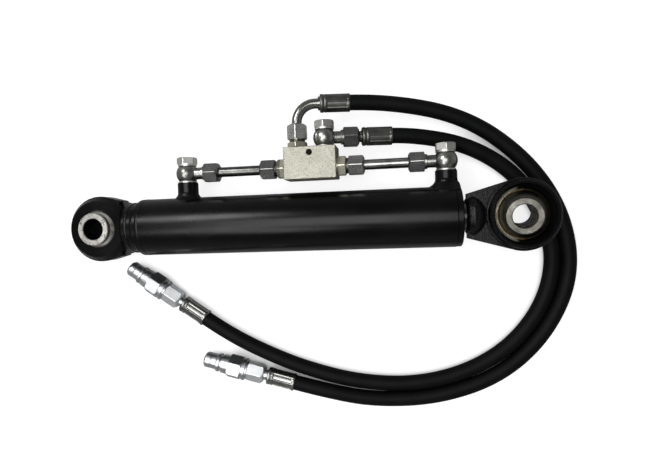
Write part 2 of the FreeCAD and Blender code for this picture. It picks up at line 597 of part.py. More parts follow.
def hose_stem(label, at, turn, ring_start):
    """A hose insert: a nipple end held by its nut, a neck, and a tail inside the hose."""
    return turned(label, [
        (ring_start, 3.5), (ring_start, "pipe_r - 0.05"), (16, "pipe_r - 0.05"), (19, "pipe_r - 0.05"),
        (19.5, 6.6), (21.6, 6.6), (21.6, "tail_r"), (49, "tail_r"), (50, 4.2), (50, 3.5)], at, turn)


def ferrule(label, at, turn, inner_lip):
    """A crimped sleeve: ten flats from the crimping dies, and a lip that closes on the stem."""
    sleeve = turned(label + "_round", [
        (0, inner_lip), (0, "ferrule_r - 1"), (1, "ferrule_r"), (4, "ferrule_r"), (4.8, "ferrule_r - 0.5"),
        (5.6, "ferrule_r"), ("ferrule_long - 1", "ferrule_r"), ("ferrule_long", "ferrule_r - 0.6"),
        ("ferrule_long", "tail_r + running"), (2, "tail_r + running"), (2, inner_lip)], at, turn)
    dies = doc.addObject("Part::Prism", "Prism")
    dies.Polygon = 10
    dies.setExpression("Circumradius", bind("ferrule_r + 0.2"))
    dies.setExpression("Height", bind("ferrule_long"))
    place(dies, at, turn.multiply(TO_Z.inverted()))
    return shared(label, sleeve, dies)


valve_end = along(valve_port, valve_pipe_y, DROOP, 22.5)
keep(hose_stem("inner_hose_stem", valve_end, DROOP, 0),
     ferrule("inner_valve_ferrule", along(valve_port, valve_pipe_y, DROOP, 44.5), DROOP, 6.65),
     ferrule("outer_valve_ferrule", along("valve_middle - port_step", "elbow_y", DROOP, 28.5), DROOP,
             "pipe_r + gap"))

# ---- Coupling plugs on the hoses' far ends --------------------------------------------------------

PLUGS = {"inner": (121.5, -121.0, 145.4), "outer": (235.3, -204.8, 165.2)}


def floor(x):
    """Height of the surface that the whole thing lies on."""
    return -size("floor_drop") - size("floor_slope") * (x - 50)


def plug_frame(name):
    """The turn of a plug, and the point of its axis at the hose end and at the nose."""
    x, y, heading = PLUGS[name]
    angle = math.radians(heading + 180)
    fall = math.degrees(math.atan(size("floor_slope") * math.cos(angle)))
    turn = TURN(V(0, 0, 1), heading + 180).multiply(TURN(V(0, 1, 0), fall))
    hose_end = V(x, y, floor(x) + size("plug_height"))
    nose = hose_end - turn.multVec(V(size("plug_long"), 0, 0))
    return turn, hose_end, nose


def coupling_plug(name):
    """A plug with its poppet, spring, screwed adapter and seal, swivel nut, stem and ferrule."""
    turn, hose_end, nose = plug_frame(name)
    at = tuple(nose)
    body = turned(name + "_plug_body", [
        (0, 5.2), (0, "nose_r - 1.8"), (2.2, "nose_r"), (8.2, "nose_r"), (8.8, "nose_r - 0.5"),
        (9.6, "nose_r - 0.5"), (10.2, "nose_r"), (16, "nose_r"), (17.5, 11.8), (20.5, 11.8), (21.2, 9.9),
        (23.3, 9.9), (24, 11.9), (32.2, 12.2), (33, 12.2), (33, 14.2), (34, 15.3), (48.6, 15.3), (49.6, 14.2),
        (50, 13.2), (50, "bolt_r + gap"), (38.2, "bolt_r + gap"), (37, 7.6), (7.6, 7.6),
        (4.6, 5.2)], at, turn)
    hexed(body, 33, 16.6, "plug_flats", first=0)
    adapter = turned(name + "_plug_adapter", [
        (38.5, 4.5), (38.5, "bolt_r"), (51.8, "bolt_r"), (51.8, 13.2), (52.4, 14), (55.2, 14),
        (55.8, 12), (57.6, 12), (57.6, "thread_r"), (69, "thread_r"), (69.4, 8.4),
        (69.4, 7.2), (62, 4.5)], at, turn)
    seal = turned(name + "_seal", [
        (50.05, "bolt_r + gap"), (50.05, 13), (51.75, 13), (51.75, "bolt_r + gap")], at, turn)
    nut = turned(name + "_nut", [
        (58, "thread_r + running"), (58, 11.4), (59, 12.5), (77.5, 12.5), (80, 9.6), (80, "pipe_r + 0.7"),
        (74.4, "pipe_r + 0.7"), (72, "thread_r + running")], at, turn)
    hexed(nut, 58, 22, "nut_flats", first=30)
    stem = turned(name + "_plug_stem", [
        (62.2, 3.4), (62.2, 4.3), (69.8, 7.1), (69.8, 8.6), (72, 8.6), (74.2, 6.6), (86.9, 6.6),
        (86.9, "tail_r"), (114, "tail_r"), (115, 4.2), (115, 3.4)], at, turn)
    poppet = turned(name + "_poppet", [
        (-1.5, 0), (-1.5, 3.6), (-0.5, 4.8), (4.9, 4.8), (7.5, 7.3), (13, 7.3), (13, 3.6),
        (17, 3.6), (17, 0)], at, turn)
    coil = spring(name + "_plug_spring", 13.1, 25.1, 5.6, 0.7, 6, FreeCAD.Placement(nose, turn))
    keep(body, stem, poppet, coil,
         ferrule(name + "_plug_ferrule", tuple(nose + turn.multVec(V(85, 0, 0))), turn, 6.65))
    return nut, seal, adapter


plug_fittings = zip(*[coupling_plug(name) for name in PLUGS])
for label, pieces in zip(("swivel_nuts", "plug_seals", "plug_adapters"), plug_fittings):
    keep(group(label, list(pieces)))

# ---- Hoses: straight runs joined by tangent arcs ----------------------------------------------------


def laid(x, y):
    """A point of a hose that lies on the floor."""
    return V(x, y, floor(x) + size("hose_r") + 0.1)


def valve_point(x, y, distance):
    """A point straight out of a hose end at the valve."""
    step = DROOP.multVec(V(1, 0, 0))
    return V(x, y, 0) + step * distance


def plug_point(name, distance):
    """A point straight out of a plug's hose end."""
    turn, hose_end, nose = plug_frame(name)
    return hose_end + turn.multVec(V(distance, 0, 0))


elbow_x = size("valve_middle") - size("port_step")
banjo_x = size("valve_middle") + size("port_step")
banjo_y = size("block_top") + size("washer") + size("banjo_half")
routes = {
    "outer_hose": [
        valve_point(elbow_x, size("elbow_y"), 64.5), valve_point(elbow_x, size("elbow_y"), 110),
        V(455, 120, -31), laid(526, 67), laid(567, 0), laid(576, -75), laid(545, -145), laid(490, -197),
        laid(415, -224), laid(335, -228), plug_point("outer", 40), plug_frame("outer")[1]],
    "inner_hose": [
        valve_point(banjo_x, banjo_y, 80.5), valve_point(banjo_x, banjo_y, 106),
        V(456, 86, -30), laid(510, 53), laid(541, 6), laid(557, -50), laid(543.5, -109), laid(505, -160),
        laid(450.5, -193), laid(385, -208.5), laid(315, -205), laid(250, -188), laid(200, -168),
        plug_point("inner", 36), plug_frame("inner")[1]],
}


def route_wire(name, points):
    """Straight runs joined by tangent arcs, each as large as its two runs allow."""
    edges, radii, start = [], [], points[0]
    for before, corner, after in zip(points, points[1:], points[2:]):
        back, ahead = before - corner, after - corner
        reach = 0.45 * min(back.Length, ahead.Length)
        half_turn = (math.pi - back.getAngle(ahead)) / 2
        radius = reach / math.tan(half_turn)
        back.normalize()
        ahead.normalize()
        middle = back + ahead
        middle.normalize()
        sagitta = radius / math.cos(half_turn) - radius
        first, last = corner + back * reach, corner + ahead * reach
        edges.append(Part.LineSegment(start, first).toShape())
        edges.append(Part.Arc(first, corner + middle * sagitta, last).toShape())
        radii.append(round(radius))
        start = last
    edges.append(Part.LineSegment(start, points[-1]).toShape())
    print(name, "length", round(sum(edge.Length for edge in edges)), "radii", radii)
    return Part.Wire(edges)


for name, points in routes.items():
    wire = route_wire(name, points)
    hose = doc.addObject("Part::Feature", "Feature")
    hose.Label = name
    hose.Shape = swept_tube(wire, size("hose_r"), 0)
    wanted = math.pi * size("hose_r") ** 2 * wire.Length
    if abs(hose.Shape.Volume / wanted - 1) > 0.01:
        raise RuntimeError(f"{name} has the wrong volume")
    keep(hose)

# ---- Check everything, then write one file for each node -----------------------------------------------

doc.recompute()
for thing in doc.Objects:
    if "Invalid" in thing.State or "Error" in thing.State:
        raise RuntimeError(f"{thing.Name} {thing.Label} failed: {thing.State}")
for name, piece in nodes.items():
    if piece.Shape.isNull() or not piece.Shape.isValid() or not piece.Shape.Solids:
        raise RuntimeError(f"{name} has no valid shape")
os.makedirs("parts", exist_ok=True)
for name, piece in nodes.items():
    piece.Shape.exportStep(f"parts/{name}.step")
print(len(nodes), "nodes written")
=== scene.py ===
import json
import math

import bpy
import numpy as np
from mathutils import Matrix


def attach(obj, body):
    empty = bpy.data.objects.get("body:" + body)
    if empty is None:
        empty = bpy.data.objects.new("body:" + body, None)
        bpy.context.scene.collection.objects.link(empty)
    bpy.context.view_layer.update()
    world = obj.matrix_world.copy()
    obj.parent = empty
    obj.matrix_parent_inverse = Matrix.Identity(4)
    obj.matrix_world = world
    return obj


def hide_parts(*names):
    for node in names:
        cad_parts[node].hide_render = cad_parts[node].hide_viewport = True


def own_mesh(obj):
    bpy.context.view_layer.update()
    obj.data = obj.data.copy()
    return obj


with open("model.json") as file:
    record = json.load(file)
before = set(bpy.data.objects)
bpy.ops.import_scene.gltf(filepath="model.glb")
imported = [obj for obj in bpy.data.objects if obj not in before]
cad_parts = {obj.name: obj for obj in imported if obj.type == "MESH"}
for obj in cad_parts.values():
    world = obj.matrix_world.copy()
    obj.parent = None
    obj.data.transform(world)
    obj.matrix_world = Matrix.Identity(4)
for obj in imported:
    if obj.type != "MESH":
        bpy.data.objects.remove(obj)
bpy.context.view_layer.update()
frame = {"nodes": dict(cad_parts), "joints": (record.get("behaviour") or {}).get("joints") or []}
nodes = frame["nodes"]


# ---- Camera ----
# It stands over the cylinder, a little to the rod side of the middle, and looks almost straight
# down. Its place is in metres, its turn in degrees, its lens and sensor in millimetres.
CAMERA_AT = (0.3695, 0.0036, 0.5707)
CAMERA_TURN = (-1.96, 8.36, -2.10)
FOCAL_LENGTH = 26.71
SENSOR_WIDTH = 36

lens = bpy.data.cameras.new("camera")
lens.lens = FOCAL_LENGTH
lens.sensor_width = SENSOR_WIDTH
lens.sensor_fit = "HORIZONTAL"
camera = bpy.data.objects.new("camera", lens)
camera.location = CAMERA_AT
camera.rotation_euler = [math.radians(angle) for angle in CAMERA_TURN]
bpy.context.collection.objects.link(camera)
bpy.context.scene.camera = camera


# ---- Hoses ----
# Two 3/8 inch two-wire hydraulic hoses with a black synthetic rubber cover. Each leaves a crimped
# ferrule beside the valve block, bends down to the surface, goes round the rod eye and lies in one
# long curve back to its coupling plug.
HOSE_RADIUS = 0.0093
HOSE_CLEARANCE = 0.0001
DROOP = math.radians(10)
VALVE_FITTINGS = {"inner": (0.2885, 0.099), "outer": (0.2555, 0.141)}
SURFACE_START = (0.05, -0.035)
SURFACE_FALL = 0.032
PLUG_HEIGHT = 0.0137
HOSE_ENDS = {"inner": (0.1215, -0.1210, 145.4), "outer": (0.2353, -0.2048, 165.2)}


def surface(x):
    """Height of what the whole thing lies on: the start's height, less an even fall for each metre
    beyond the start, towards the rod end."""
    start, height = SURFACE_START
    return height - SURFACE_FALL * (x - start)


def laid(x, y):
    """A route point where the hose lies on the surface: its radius and a hair above it."""
    return (x, y, surface(x) + HOSE_RADIUS + HOSE_CLEARANCE)


def beside_valve(side, along):
    """A point on a valve fitting's axis: from the fitting, at valve height, that far along a line in
    the XZ plane that droops by a fixed angle."""
    x, y = VALVE_FITTINGS[side]
    return (x + along * math.cos(DROOP), y, -along * math.sin(DROOP))


def plug_axis(side):
    """Unit vector from the plug's nose to its hose, and the hose's end point. The vector points
    against the plug's heading, in degrees, and falls as the surface does that way."""
    x, y, heading = HOSE_ENDS[side]
    back = math.radians(heading + 180)
    fall = math.atan(SURFACE_FALL * math.cos(back))
    axis = np.array([math.cos(fall) * math.cos(back), math.cos(fall) * math.sin(back), -math.sin(fall)])
    return axis, np.array([x, y, surface(x) + PLUG_HEIGHT])


def before_plug(side, along):
    """A route point on the plug's own axis: the hose's end plus that length of its unit vector."""
    axis, end = plug_axis(side)
    return tuple(end + along * axis)


OUTER_ROUTE = [
    beside_valve("outer", 0.0645), beside_valve("outer", 0.110), (0.455, 0.120, -0.031),
    laid(0.526, 0.067), laid(0.567, 0.000), laid(0.576, -0.075), laid(0.545, -0.145),
    laid(0.490, -0.197), laid(0.415, -0.224), laid(0.335, -0.228),
    before_plug("outer", 0.040), before_plug("outer", 0)]
INNER_ROUTE = [
    beside_valve("inner", 0.0805), beside_valve("inner", 0.106), (0.456, 0.086, -0.030),
    laid(0.510, 0.053), laid(0.541, 0.006), laid(0.557, -0.050), laid(0.5435, -0.109),
    laid(0.505, -0.160), laid(0.4505, -0.193), laid(0.385, -0.2085), laid(0.315, -0.205),
    laid(0.250, -0.188), laid(0.200, -0.168), before_plug("inner", 0.036), before_plug("inner", 0)]


def start_finish(name, metallic, sheen=0.5):
    """A new material, with the shader's even numbers set and the piece's own coordinates to hand."""
    material = bpy.data.materials.new(name)
    material.use_nodes = True
    tree = material.node_tree
    shader = tree.nodes["Principled BSDF"]
    shader.inputs["Metallic"].default_value = metallic
    shader.inputs["Specular IOR Level"].default_value = sheen
    where = tree.nodes.new("ShaderNodeTexCoord").outputs["Object"]
    return material, tree, shader, where


def mottle(tree, where, per_metre, stretch=(1, 1, 1), detail=3.0):
    """Cloudy values from 0 to 1, so many clouds to the metre, drawn out along each axis whose stretch
    is below 1."""
    drawn = tree.nodes.new("ShaderNodeMapping")
    drawn.inputs["Scale"].default_value = stretch
    clouds = tree.nodes.new("ShaderNodeTexNoise")
    clouds.inputs["Scale"].default_value = per_metre
    clouds.inputs["Detail"].default_value = detail
    tree.links.new(where, drawn.inputs["Vector"])
    tree.links.new(drawn.outputs["Vector"], clouds.inputs["Vector"])
    return clouds.outputs[0]


def between(tree, value, low, high, first, last):
    """Straight-line change from first to last as the value goes from low to high, and level outside."""
    scale = tree.nodes.new("ShaderNodeMapRange")
    for socket, number in zip(scale.inputs[1:5], (low, high, first, last)):
        socket.default_value = number
    tree.links.new(value, scale.inputs[0])
    return scale.outputs[0]


def two_tone(tree, share, first, last):
    """Mix of two colours, or of a colour made before, by a share from 0 to 1."""
    mix = tree.nodes.new("ShaderNodeMix")
    mix.data_type = "RGBA"
    tree.links.new(share, mix.inputs[0])
    for socket, colour in zip((mix.inputs[6], mix.inputs[7]), (first, last)):
        if isinstance(colour, tuple):
            socket.default_value = (*colour, 1)
        else:
            tree.links.new(colour, socket)
    return mix.outputs[2]


def relief(tree, shader, height, depth):
    """Raises the surface by depth metres where the height is 1, on top of any relief it has."""
    bump = tree.nodes.new("ShaderNodeBump")
    bump.inputs["Strength"].default_value = 1
    bump.inputs["Distance"].default_value = depth
    tree.links.new(height, bump.inputs["Height"])
    if shader.inputs["Normal"].links:
        tree.links.new(shader.inputs["Normal"].links[0].from_socket, bump.inputs["Normal"])
    tree.links.new(bump.outputs["Normal"], shader.inputs["Normal"])


def paint_on(tree, shader, colour, roughness):
    """Gives the shader its worked-out colour and roughness."""
    tree.links.new(colour, shader.inputs["Base Color"])
    tree.links.new(roughness, shader.inputs["Roughness"])


def hose_rubber():
    """Matt black cover: clouds of dust between two near blacks, a fine grain and faint wrap marks."""
    material, tree, shader, where = start_finish("hose_rubber", 0, sheen=0.12)
    dust = mottle(tree, where, 45, detail=4)
    fine = mottle(tree, where, 1500)
    colour = two_tone(tree, between(tree, dust, 0.35, 0.75, 0, 1), (0.0012, 0.0013, 0.0014),
                      (0.0030, 0.0032, 0.0033))
    paint_on(tree, shader, colour, between(tree, fine, 0.3, 0.7, 0.5, 0.68))
    relief(tree, shader, fine, 0.00005)
    relief(tree, shader, mottle(tree, where, 260), 0.00012)
    return material


RUBBER = hose_rubber()


def hose(name, route):
    """One open spline that starts and ends on the route's ends and is drawn to the points between
    them, with a circle of the hose's radius carried along it."""
    curve = bpy.data.curves.new(name, "CURVE")
    curve.dimensions = "3D"
    curve.resolution_u = 12
    curve.bevel_depth = HOSE_RADIUS
    curve.bevel_resolution = 8
    curve.use_fill_caps = True
    line = curve.splines.new("NURBS")
    line.points.add(len(route) - 1)
    for point, place in zip(line.points, route):
        point.co = (*place, 1)
    line.order_u = 3
    line.use_endpoint_u = True
    piece = bpy.data.objects.new(name, curve)
    piece.data.materials.append(RUBBER)
    bpy.context.collection.objects.link(piece)
    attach(piece, "barrel")
    return piece


HOSE_RUNS = [("outer", OUTER_ROUTE, 0.790), ("inner", INNER_ROUTE, 0.803)]
for side, route, length in HOSE_RUNS:
    piece = hose(side + "_hose_cover", route)
    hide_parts(side + "_hose")


# ---- Crimped ferrules ----
# Steel sleeves, zinc plated, that a press with eight dies squeezes onto the hose ends. The dies
# leave eight flat lands with a low ridge between each two, and a plain collar at either end.
FERRULE_LENGTH = 0.036
FERRULE_RADIUS = 0.011
FERRULE_BORE = 0.00505
FERRULE_WALL = 0.002
SKIRT_START = 0.0061
LIP, OUTER_VALVE_LIP = 0.00665, 0.0061
VALVE_FERRULE_STARTS = {"inner": 0.0445, "outer": 0.0285}
LAND_ANGLE = math.pi / 4
LAND_DEPTH = 0.0009
LAND_RUN = (0.0070, 0.0335)
LAND_RAMP = 0.0012
RIDGE_SHARE = 0.085


def turned_grid(name, section, at, axis, around=160, press=None):
    """Closed round surface: each point of the section, a distance along the axis and a radius, is
    carried round the axis; press takes distance and angle and gives what comes off the radius."""
    angle = np.linspace(0, 2 * math.pi, around, endpoint=False)
    along = np.array([point[0] for point in section])[:, None] + 0 * angle
    radius = np.array([point[1] for point in section])[:, None] + 0 * angle
    if press:
        radius = radius - press(along, angle[None, :] + 0 * along)
    axis = np.array(axis, float) / np.linalg.norm(axis)
    side = np.cross(axis, (0.0, 0.0, 1.0) if abs(axis[2]) < 0.9 else (1.0, 0.0, 0.0))
    side /= np.linalg.norm(side)
    up = np.cross(side, axis)
    ring = np.cos(angle)[None, :, None] * side + np.sin(angle)[None, :, None] * up
    points = np.array(at) + along[..., None] * axis + radius[..., None] * ring
    return woven(name, points)


def woven(name, points):
    """Mesh on a grid that is closed both ways. The sum of its triangles' signed volumes from the
    origin tells whether its faces point inwards, and then they are turned round."""
    rows, columns = points.shape[:2]
    corner = np.arange(rows * columns).reshape(rows, columns)
    down = np.roll(corner, -1, 0)
    faces = np.stack([corner, np.roll(corner, -1, 1), np.roll(down, -1, 1), down], -1).reshape(-1, 4)
    triangles = points.reshape(-1, 3)[faces]
    volume = np.einsum("ij,ij->i", triangles[:, 0], np.cross(triangles[:, 1], triangles[:, 2])).sum()
    volume += np.einsum("ij,ij->i", triangles[:, 0], np.cross(triangles[:, 2], triangles[:, 3])).sum()
    if volume < 0:
        faces = faces[:, ::-1]
    mesh = bpy.data.meshes.new(name)
    mesh.from_pydata(points.reshape(-1, 3).tolist(), [], faces.tolist())
    mesh.polygons.foreach_set("use_smooth", np.ones(len(faces), bool))
    mesh.update()
    piece = bpy.data.objects.new(name, mesh)
    bpy.context.collection.objects.link(piece)
    return piece


def crimp(along, angle):
    """Eight lands pressed in between the collars: full depth but for a bell-shaped ridge between each
    two lands, and a short straight ramp at either end."""
    from_ridge = np.abs((angle / LAND_ANGLE) % 1 - 0.5) - 0.5
    ridge = np.exp(-(from_ridge / RIDGE_SHARE) ** 2)
    first, last = LAND_RUN
    reach = np.clip((along - first) / LAND_RAMP, 0, 1) * np.clip((last - along) / LAND_RAMP, 0, 1)
    return LAND_DEPTH * (1 - ridge) * reach


def ferrule_outline(lip):
    """Outline of the sleeve: bead and groove at the fitting's end, plain skirt, rounded rim at the hose."""
    body = FERRULE_RADIUS
    outer = [(0, lip), (0, body - 0.0012), (0.0004, body - 0.0004), (0.0012, body), (0.0040, body),
             (0.0047, body - 0.0007), (0.0054, body - 0.0007), (SKIRT_START, body)]
    skirt = [(SKIRT_START + 0.001 * step, body) for step in range(1, 28)]
    rim = [(0.0348, body), (0.0356, body - 0.0003), (FERRULE_LENGTH, body - 0.0009)]
    inside = [(FERRULE_LENGTH, FERRULE_BORE), (FERRULE_WALL, FERRULE_BORE), (FERRULE_WALL, lip)]
    return outer + skirt + rim + inside


def along_axis(tree, where, axis):
    """Distance along the part's own X, Y or Z axis."""
    parts = tree.nodes.new("ShaderNodeSeparateXYZ")
    tree.links.new(where, parts.inputs[0])
    return parts.outputs[axis]


def painted_light_by_place(tree, where, colour, steps, blend=0.001):
    """Multiplies the plate's colour by a factor beyond each place along an axis, as painted light and
    painted shade on fittings of one plate. The factor sets in over twice the blend."""
    for axis, place, factor in steps:
        share = between(tree, along_axis(tree, where, axis), place - blend, place + blend, 1, factor)
        scaled = tree.nodes.new("ShaderNodeVectorMath")
        scaled.operation = "SCALE"
        tree.links.new(colour, scaled.inputs[0])
        tree.links.new(share, scaled.inputs["Scale"])
        colour = scaled.outputs[0]
    return colour


def plated(name, light, dark, rough_low, rough_high, clouds=55, spots=900, depth=0.00002,
           spangle_dark=0.6, steps=()):
    """Zinc plate on steel: clouds of lighter and darker grey, fine spangle, uneven gloss."""
    material, tree, shader, where = start_finish(name, 1)
    cloud = between(tree, mottle(tree, where, clouds, detail=5), 0.32, 0.68, 0, 1)
    spangle = mottle(tree, where, spots)
    colour = two_tone(tree, cloud, light, dark)
    fleck = tuple(spangle_dark * part for part in dark)
    colour = two_tone(tree, between(tree, spangle, 0.60, 0.78, 0, 0.6), colour, fleck)
    colour = painted_light_by_place(tree, where, colour, steps)
    paint_on(tree, shader, colour, between(tree, spangle, 0.3, 0.7, rough_low, rough_high))
    relief(tree, shader, spangle, depth)
    return material


FERRULE_ZINC = plated("ferrule_zinc", (0.17, 0.17, 0.155), (0.085, 0.088, 0.08), 0.30, 0.5)
PLUG_FERRULE_ZINC = plated("plug_ferrule_zinc", (0.34, 0.34, 0.325), (0.18, 0.18, 0.17), 0.22, 0.36)
droop_axis = (math.cos(DROOP), 0, -math.sin(DROOP))
ferrules = []
for side, lip in (("inner", LIP), ("outer", OUTER_VALVE_LIP)):
    start = beside_valve(side, VALVE_FERRULE_STARTS[side])
    ferrules.append((side + "_valve_ferrule", start, droop_axis, lip, FERRULE_ZINC))
for side in ("inner", "outer"):
    axis, end = plug_axis(side)
    start = end - FERRULE_LENGTH * axis
    ferrules.append((side + "_plug_ferrule", start, axis, LIP, PLUG_FERRULE_ZINC))
for name, start, axis, lip, plate in ferrules:
    sleeve = turned_grid(name + "_crimped", ferrule_outline(lip), start, axis, press=crimp)
    sleeve.data.materials.append(plate)
    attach(sleeve, "barrel")
    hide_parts(name)


# ---- Barrel, cap and gland ----
# Drawn steel tube with a turned cap welded in one end and a turned head screwed into the other, all
# sprayed satin gloss black. The paint has a fine orange-peel surface and a little dust.
DUST = (0.05, 0.05, 0.05)


def black_paint(name, colour, worn, rough_low, rough_high, peel, grain, grain_depth):
    """Sprayed black: clouds between the colour and the worn one, dust specks, orange peel of that
    depth, and under it so many grains to the metre of the grain's depth."""
    material, tree, shader, where = start_finish(name, 0, sheen=0.2)
    cloud = mottle(tree, where, 22, detail=5)
    dust = mottle(tree, where, 620, detail=2)
    tone = two_tone(tree, between(tree, cloud, 0.3, 0.7, 0, 1), colour, worn)
    tone = two_tone(tree, between(tree, dust, 0.70, 0.80, 0, 0.25), tone, DUST)
    paint_on(tree, shader, tone, between(tree, cloud, 0.3, 0.7, rough_low, rough_high))
    relief(tree, shader, mottle(tree, where, 420), peel)
    relief(tree, shader, mottle(tree, where, grain, detail=4), grain_depth)
    return material, tree, shader, where


def dress(material, *names):
    """Puts a finish on CAD nodes."""
    for name in names:
        for slot in nodes[name].material_slots:
            slot.material = material


PAINT = black_paint("barrel_paint", (0.0009, 0.0010, 0.0010), (0.0020, 0.0021, 0.0021),
                    rough_low=0.22, rough_high=0.30, peel=0.00002, grain=150, grain_depth=0.00003)[0]
dress(PAINT, "barrel_tube", "base_cap", "gland", "barrel_welds", "base_port_boss", "rod_port_boss",
      "port_welds")


# ---- Welds ----
# Beads laid by hand where the cap meets the tube and the eye's neck, and round the foot of each port
# boss. Each bead is a row of overlapping scallops under the paint.
BARREL_RADIUS = 0.035
HEAD_END = 0.4425
BASE_PORT, ROD_PORT = 0.115, 0.428
BOSS_RADIUS = 0.0125
FOOT_RIPPLE = 0.00035
BURIED = 0.001


def scallops(turn, count, lean):
    """Height of a bead's ripples, so many to the turn: the sine of each ripple's share of half a
    circle, to the power 0.6, which is full in the middle and sharp between; lean bows them."""
    step = (turn * count / (2 * math.pi) + lean) % 1
    return np.sin(math.pi * step) ** 0.6


def ring_bead(name, x, radius, half_width, height, count):
    """Closed bead round the X axis: an ellipse of the bead's half width and height carried round the
    barrel, both made smaller between the scallops, with a slight waver along the barrel."""
    turn = np.linspace(0, 2 * math.pi, 900, endpoint=False)[:, None]
    across = np.linspace(0, 2 * math.pi, 20, endpoint=False)[None, :]
    wave = 0.72 + 0.28 * scallops(turn, count, 0.35 * np.cos(across))
    out = radius + height * wave * np.sin(across)
    along = x + half_width * (0.9 + 0.1 * wave) * np.cos(across) + 0.0002 * np.sin(7 * turn)
    points = np.stack([along + 0 * out, out * np.cos(turn), out * np.sin(turn)], -1)
    return woven(name, points)


def foot_bead(name, port, boss_radius, foot_radius, top):
    """Fillet between an upright boss and the barrel: a hollow curve from the boss down to the
    barrel's round, whose reach and height go by powers of the share along it, carried round the
    boss, with scallops standing out of it and cut off at the head's end. It closes inside the boss."""
    turn = np.linspace(0, 2 * math.pi, 420, endpoint=False)[:, None]
    share = np.linspace(0, 1, 14)[None, :]
    reach = boss_radius + (foot_radius - boss_radius) * share ** 1.7
    wave = FOOT_RIPPLE * scallops(turn, 34, 0.5 * share) * np.sin(math.pi * np.clip(share, 0.02, 1))
    reach = reach + wave
    room = (HEAD_END - port) / np.maximum(np.cos(turn), 0.05)
    reach = np.where(np.cos(turn) > 0, np.minimum(reach, room), reach)
    foot = np.sqrt(BARREL_RADIUS ** 2 - (reach * np.sin(turn)) ** 2)
    height = top + (foot - 0.0003 - top) * share ** 0.62
    outer = np.stack([port + reach * np.cos(turn), height, reach * np.sin(turn)], -1)
    hidden = boss_radius - BURIED + 0 * turn
    low, high = foot.min() - BURIED + 0 * turn, top - BURIED + 0 * turn
    under = np.stack([port + hidden * np.cos(turn), low, hidden * np.sin(turn)], -1)
    inside = np.stack([port + hidden * np.cos(turn), high, hidden * np.sin(turn)], -1)
    return woven(name, np.concatenate([outer, under, inside], 1))


beads = [(ring_bead("eye_neck_bead", 0.0450, 0.0306, 0.0024, 0.0011, 46), "barrel_welds"),
         (ring_bead("cap_bead", 0.0620, 0.0344, 0.0024, 0.0008, 54), "barrel_welds"),
         (foot_bead("base_port_bead", BASE_PORT, BOSS_RADIUS, 0.0165, 0.041), "port_welds"),
         (foot_bead("rod_port_bead", ROD_PORT, BOSS_RADIUS, 0.0205, 0.044), "port_welds")]
for bead, node in beads:
    bead.data.materials.append(PAINT)
    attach(bead, "barrel")
    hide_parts(node)


# ---- End eyes ----
# Forged steel eyes under the same black paint, with the forging's skin still to be felt. The rod
# eye's plate is rough outside its turned ring. Its ball seat has a bare metal edge on the barrel's
# side, painted bright as a painted highlight, and a bronze-coloured rim.
EYE_BLACK, EYE_WORN = (0.0010, 0.0011, 0.0011), (0.0022, 0.0023, 0.0023)
SKIN_PEAKS = (0.016, 0.016, 0.016)
BARE_EDGE_AND_GLINT = (0.80, 0.77, 0.64)
BRONZE = (0.09, 0.062, 0.022)
ROD_EYE_X = 0.510
SEAT_RADIUS = 0.0280
RING_RADIUS = 0.0378

EYE_PAINT = black_paint("eye_paint", EYE_BLACK, EYE_WORN, rough_low=0.20, rough_high=0.28,
                        peel=0.00003, grain=520, grain_depth=0.00010)[0]
dress(EYE_PAINT, "base_eye", "rod_eye_weld")


def away_from_pin(tree, where, pin_x):
    """Distance from the upright line through a pin at that x: the length of the place's X and Y
    measured from the pin."""
    flat = tree.nodes.new("ShaderNodeVectorMath")
    flat.operation = "MULTIPLY_ADD"
    flat.inputs[1].default_value = (1, 1, 0)
    flat.inputs[2].default_value = (-pin_x, 0, 0)
    tree.links.new(where, flat.inputs[0])
    reach = tree.nodes.new("ShaderNodeVectorMath")
    reach.operation = "LENGTH"
    tree.links.new(flat.outputs[0], reach.inputs[0])
    return reach.outputs["Value"]


def both(tree, first, second):
    """Product of two values."""
    product = tree.nodes.new("ShaderNodeMath")
    product.operation = "MULTIPLY"
    tree.links.new(first, product.inputs[0])
    tree.links.new(second, product.inputs[1])
    return product.outputs[0]


def lined_eye():
    """The rod eye's paint. Flecks of a rough skin set in outside the ring's radius. Bare metal, painted
    bright as a painted highlight, reaches a little beyond the seat's radius on the barrel's side and
    fades out short of the pin. Bronze covers what lies inside the seat's radius and fades across the pin."""
    material, tree, shader, where = black_paint(
        "rod_eye_paint", EYE_BLACK, EYE_WORN, rough_low=0.14, rough_high=0.22, peel=0.00002,
        grain=150, grain_depth=0.00003)
    from_pin = away_from_pin(tree, where, ROD_EYE_X)
    along = along_axis(tree, where, "X")
    skin = both(tree, mottle(tree, where, 850, detail=4),
                between(tree, from_pin, RING_RADIUS, RING_RADIUS + 0.0012, 0, 1))
    relief(tree, shader, skin, 0.00045)
    colour = shader.inputs["Base Color"].links[0].from_socket
    colour = two_tone(tree, between(tree, skin, 0.52, 0.66, 0, 1), colour, SKIN_PEAKS)
    # The bright edge on the barrel's side is bare metal and a painted highlight.
    bare_and_glint = both(tree, between(tree, along, ROD_EYE_X - 0.022, ROD_EYE_X - 0.006, 1, 0),
                between(tree, from_pin, SEAT_RADIUS + 0.0028, SEAT_RADIUS + 0.0036, 1, 0))
    colour = two_tone(tree, bare_and_glint, colour, BARE_EDGE_AND_GLINT)
    rim = both(tree, between(tree, from_pin, SEAT_RADIUS, SEAT_RADIUS + 0.0005, 1, 0),
               between(tree, along, ROD_EYE_X - 0.012, ROD_EYE_X + 0.012, 1, 0.1))
    tree.links.new(two_tone(tree, rim, colour, BRONZE), shader.inputs["Base Color"])
    tree.links.new(bare_and_glint, shader.inputs["Metallic"])
    return material


dress(lined_eye(), "rod_eye")


